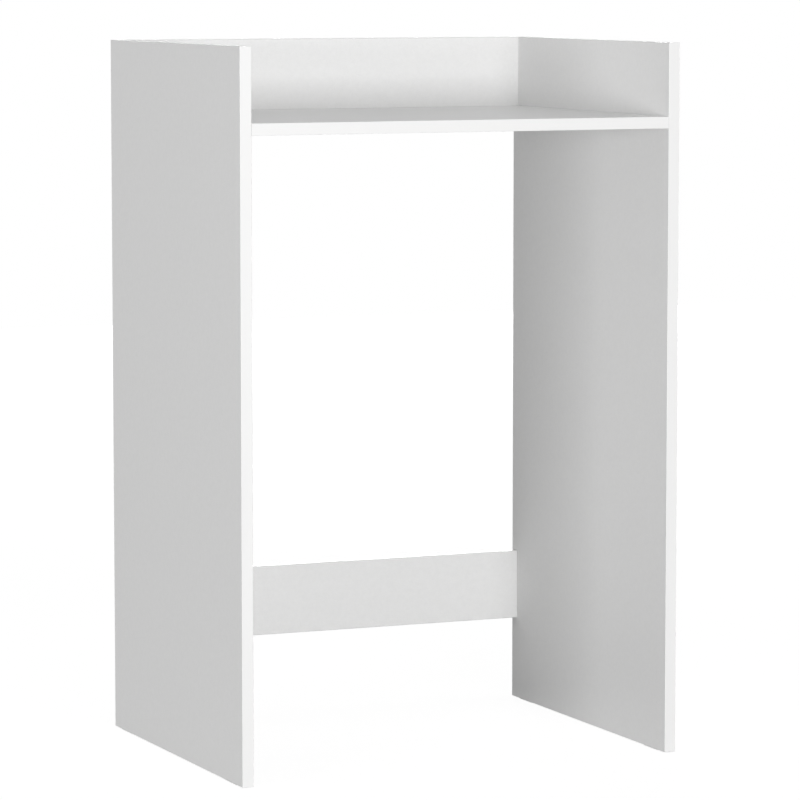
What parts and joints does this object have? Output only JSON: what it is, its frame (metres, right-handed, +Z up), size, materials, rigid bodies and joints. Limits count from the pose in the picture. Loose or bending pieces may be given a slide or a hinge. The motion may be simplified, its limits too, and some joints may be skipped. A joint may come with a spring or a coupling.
{
  "type": "washing machine surround cabinet",
  "caption": "Open surround that stands over a washing machine, with a rimmed shelf on top, a low rear rail, edged boards and hidden cam-and-dowel joints.",
  "frame": {"origin": "on the floor, under the middle of the cabinet's bounding box", "axes": "+X to the right of someone facing the cabinet, +Y to the rear, so the open front faces -Y, and +Z up"},
  "size_m": [0.64, 0.495, 0.975],
  "materials": {
    "melamine_board": "white satin melamine on chipboard",
    "edging_strip": "white satin edging strip",
    "cam_zinc": "die-cast zinc, dull",
    "bolt_steel": "zinc-plated steel",
    "beech_dowel": "plain beech",
    "glide_plastic": "white polyethylene"
  },
  "bodies": {
    "carcass": {"left_side_panel": "melamine_board", "right_side_panel": "melamine_board", "shelf_panel": "melamine_board", "upstand_panel": "melamine_board", "rear_rail": "melamine_board", "left_front_edging": "edging_strip", "left_rear_edging": "edging_strip", "left_top_edging": "edging_strip", "left_bottom_edging": "edging_strip", "right_front_edging": "edging_strip", "right_rear_edging": "edging_strip", "right_top_edging": "edging_strip", "right_bottom_edging": "edging_strip", "shelf_front_edging": "edging_strip", "upstand_top_edging": "edging_strip", "upstand_bottom_edging": "edging_strip", "rail_top_edging": "edging_strip", "rail_bottom_edging": "edging_strip", "shelf_cam_bolts": "bolt_steel", "rail_cam_bolts": "bolt_steel", "shelf_dowels": "beech_dowel", "upstand_dowels": "beech_dowel", "rail_dowels": "beech_dowel", "shelf_rear_dowels": "beech_dowel", "front_left_glide": "glide_plastic", "rear_left_glide": "glide_plastic", "front_right_glide": "glide_plastic", "rear_right_glide": "glide_plastic"},
    "front_left_shelf_cam": {"front_left_shelf_cam": "cam_zinc"},
    "rear_left_shelf_cam": {"rear_left_shelf_cam": "cam_zinc"},
    "left_rail_cam": {"left_rail_cam": "cam_zinc"},
    "front_right_shelf_cam": {"front_right_shelf_cam": "cam_zinc"},
    "rear_right_shelf_cam": {"rear_right_shelf_cam": "cam_zinc"},
    "right_rail_cam": {"right_rail_cam": "cam_zinc"}
  },
  "joints": [
    {"name": "front_left_shelf_cam_turn", "type": "hinge", "parent": "carcass", "child": "front_left_shelf_cam", "pos_m": [-0.27, -0.1875, 0.867], "axis": [0, 0, 1], "range_deg": [0, 180]},
    {"name": "rear_left_shelf_cam_turn", "type": "hinge", "parent": "carcass", "child": "rear_left_shelf_cam", "pos_m": [-0.27, 0.1715, 0.867], "axis": [0, 0, 1], "range_deg": [0, 180]},
    {"name": "left_rail_cam_turn", "type": "hinge", "parent": "carcass", "child": "left_rail_cam", "pos_m": [-0.27, 0.2395, 0.154], "axis": [0, -1, 0], "range_deg": [0, 180]},
    {"name": "front_right_shelf_cam_turn", "type": "hinge", "parent": "carcass", "child": "front_right_shelf_cam", "pos_m": [0.27, -0.1875, 0.867], "axis": [0, 0, 1], "range_deg": [0, 180]},
    {"name": "rear_right_shelf_cam_turn", "type": "hinge", "parent": "carcass", "child": "rear_right_shelf_cam", "pos_m": [0.27, 0.1715, 0.867], "axis": [0, 0, 1], "range_deg": [0, 180]},
    {"name": "right_rail_cam_turn", "type": "hinge", "parent": "carcass", "child": "right_rail_cam", "pos_m": [0.27, 0.2395, 0.154], "axis": [0, -1, 0], "range_deg": [0, 180]}
  ]
}
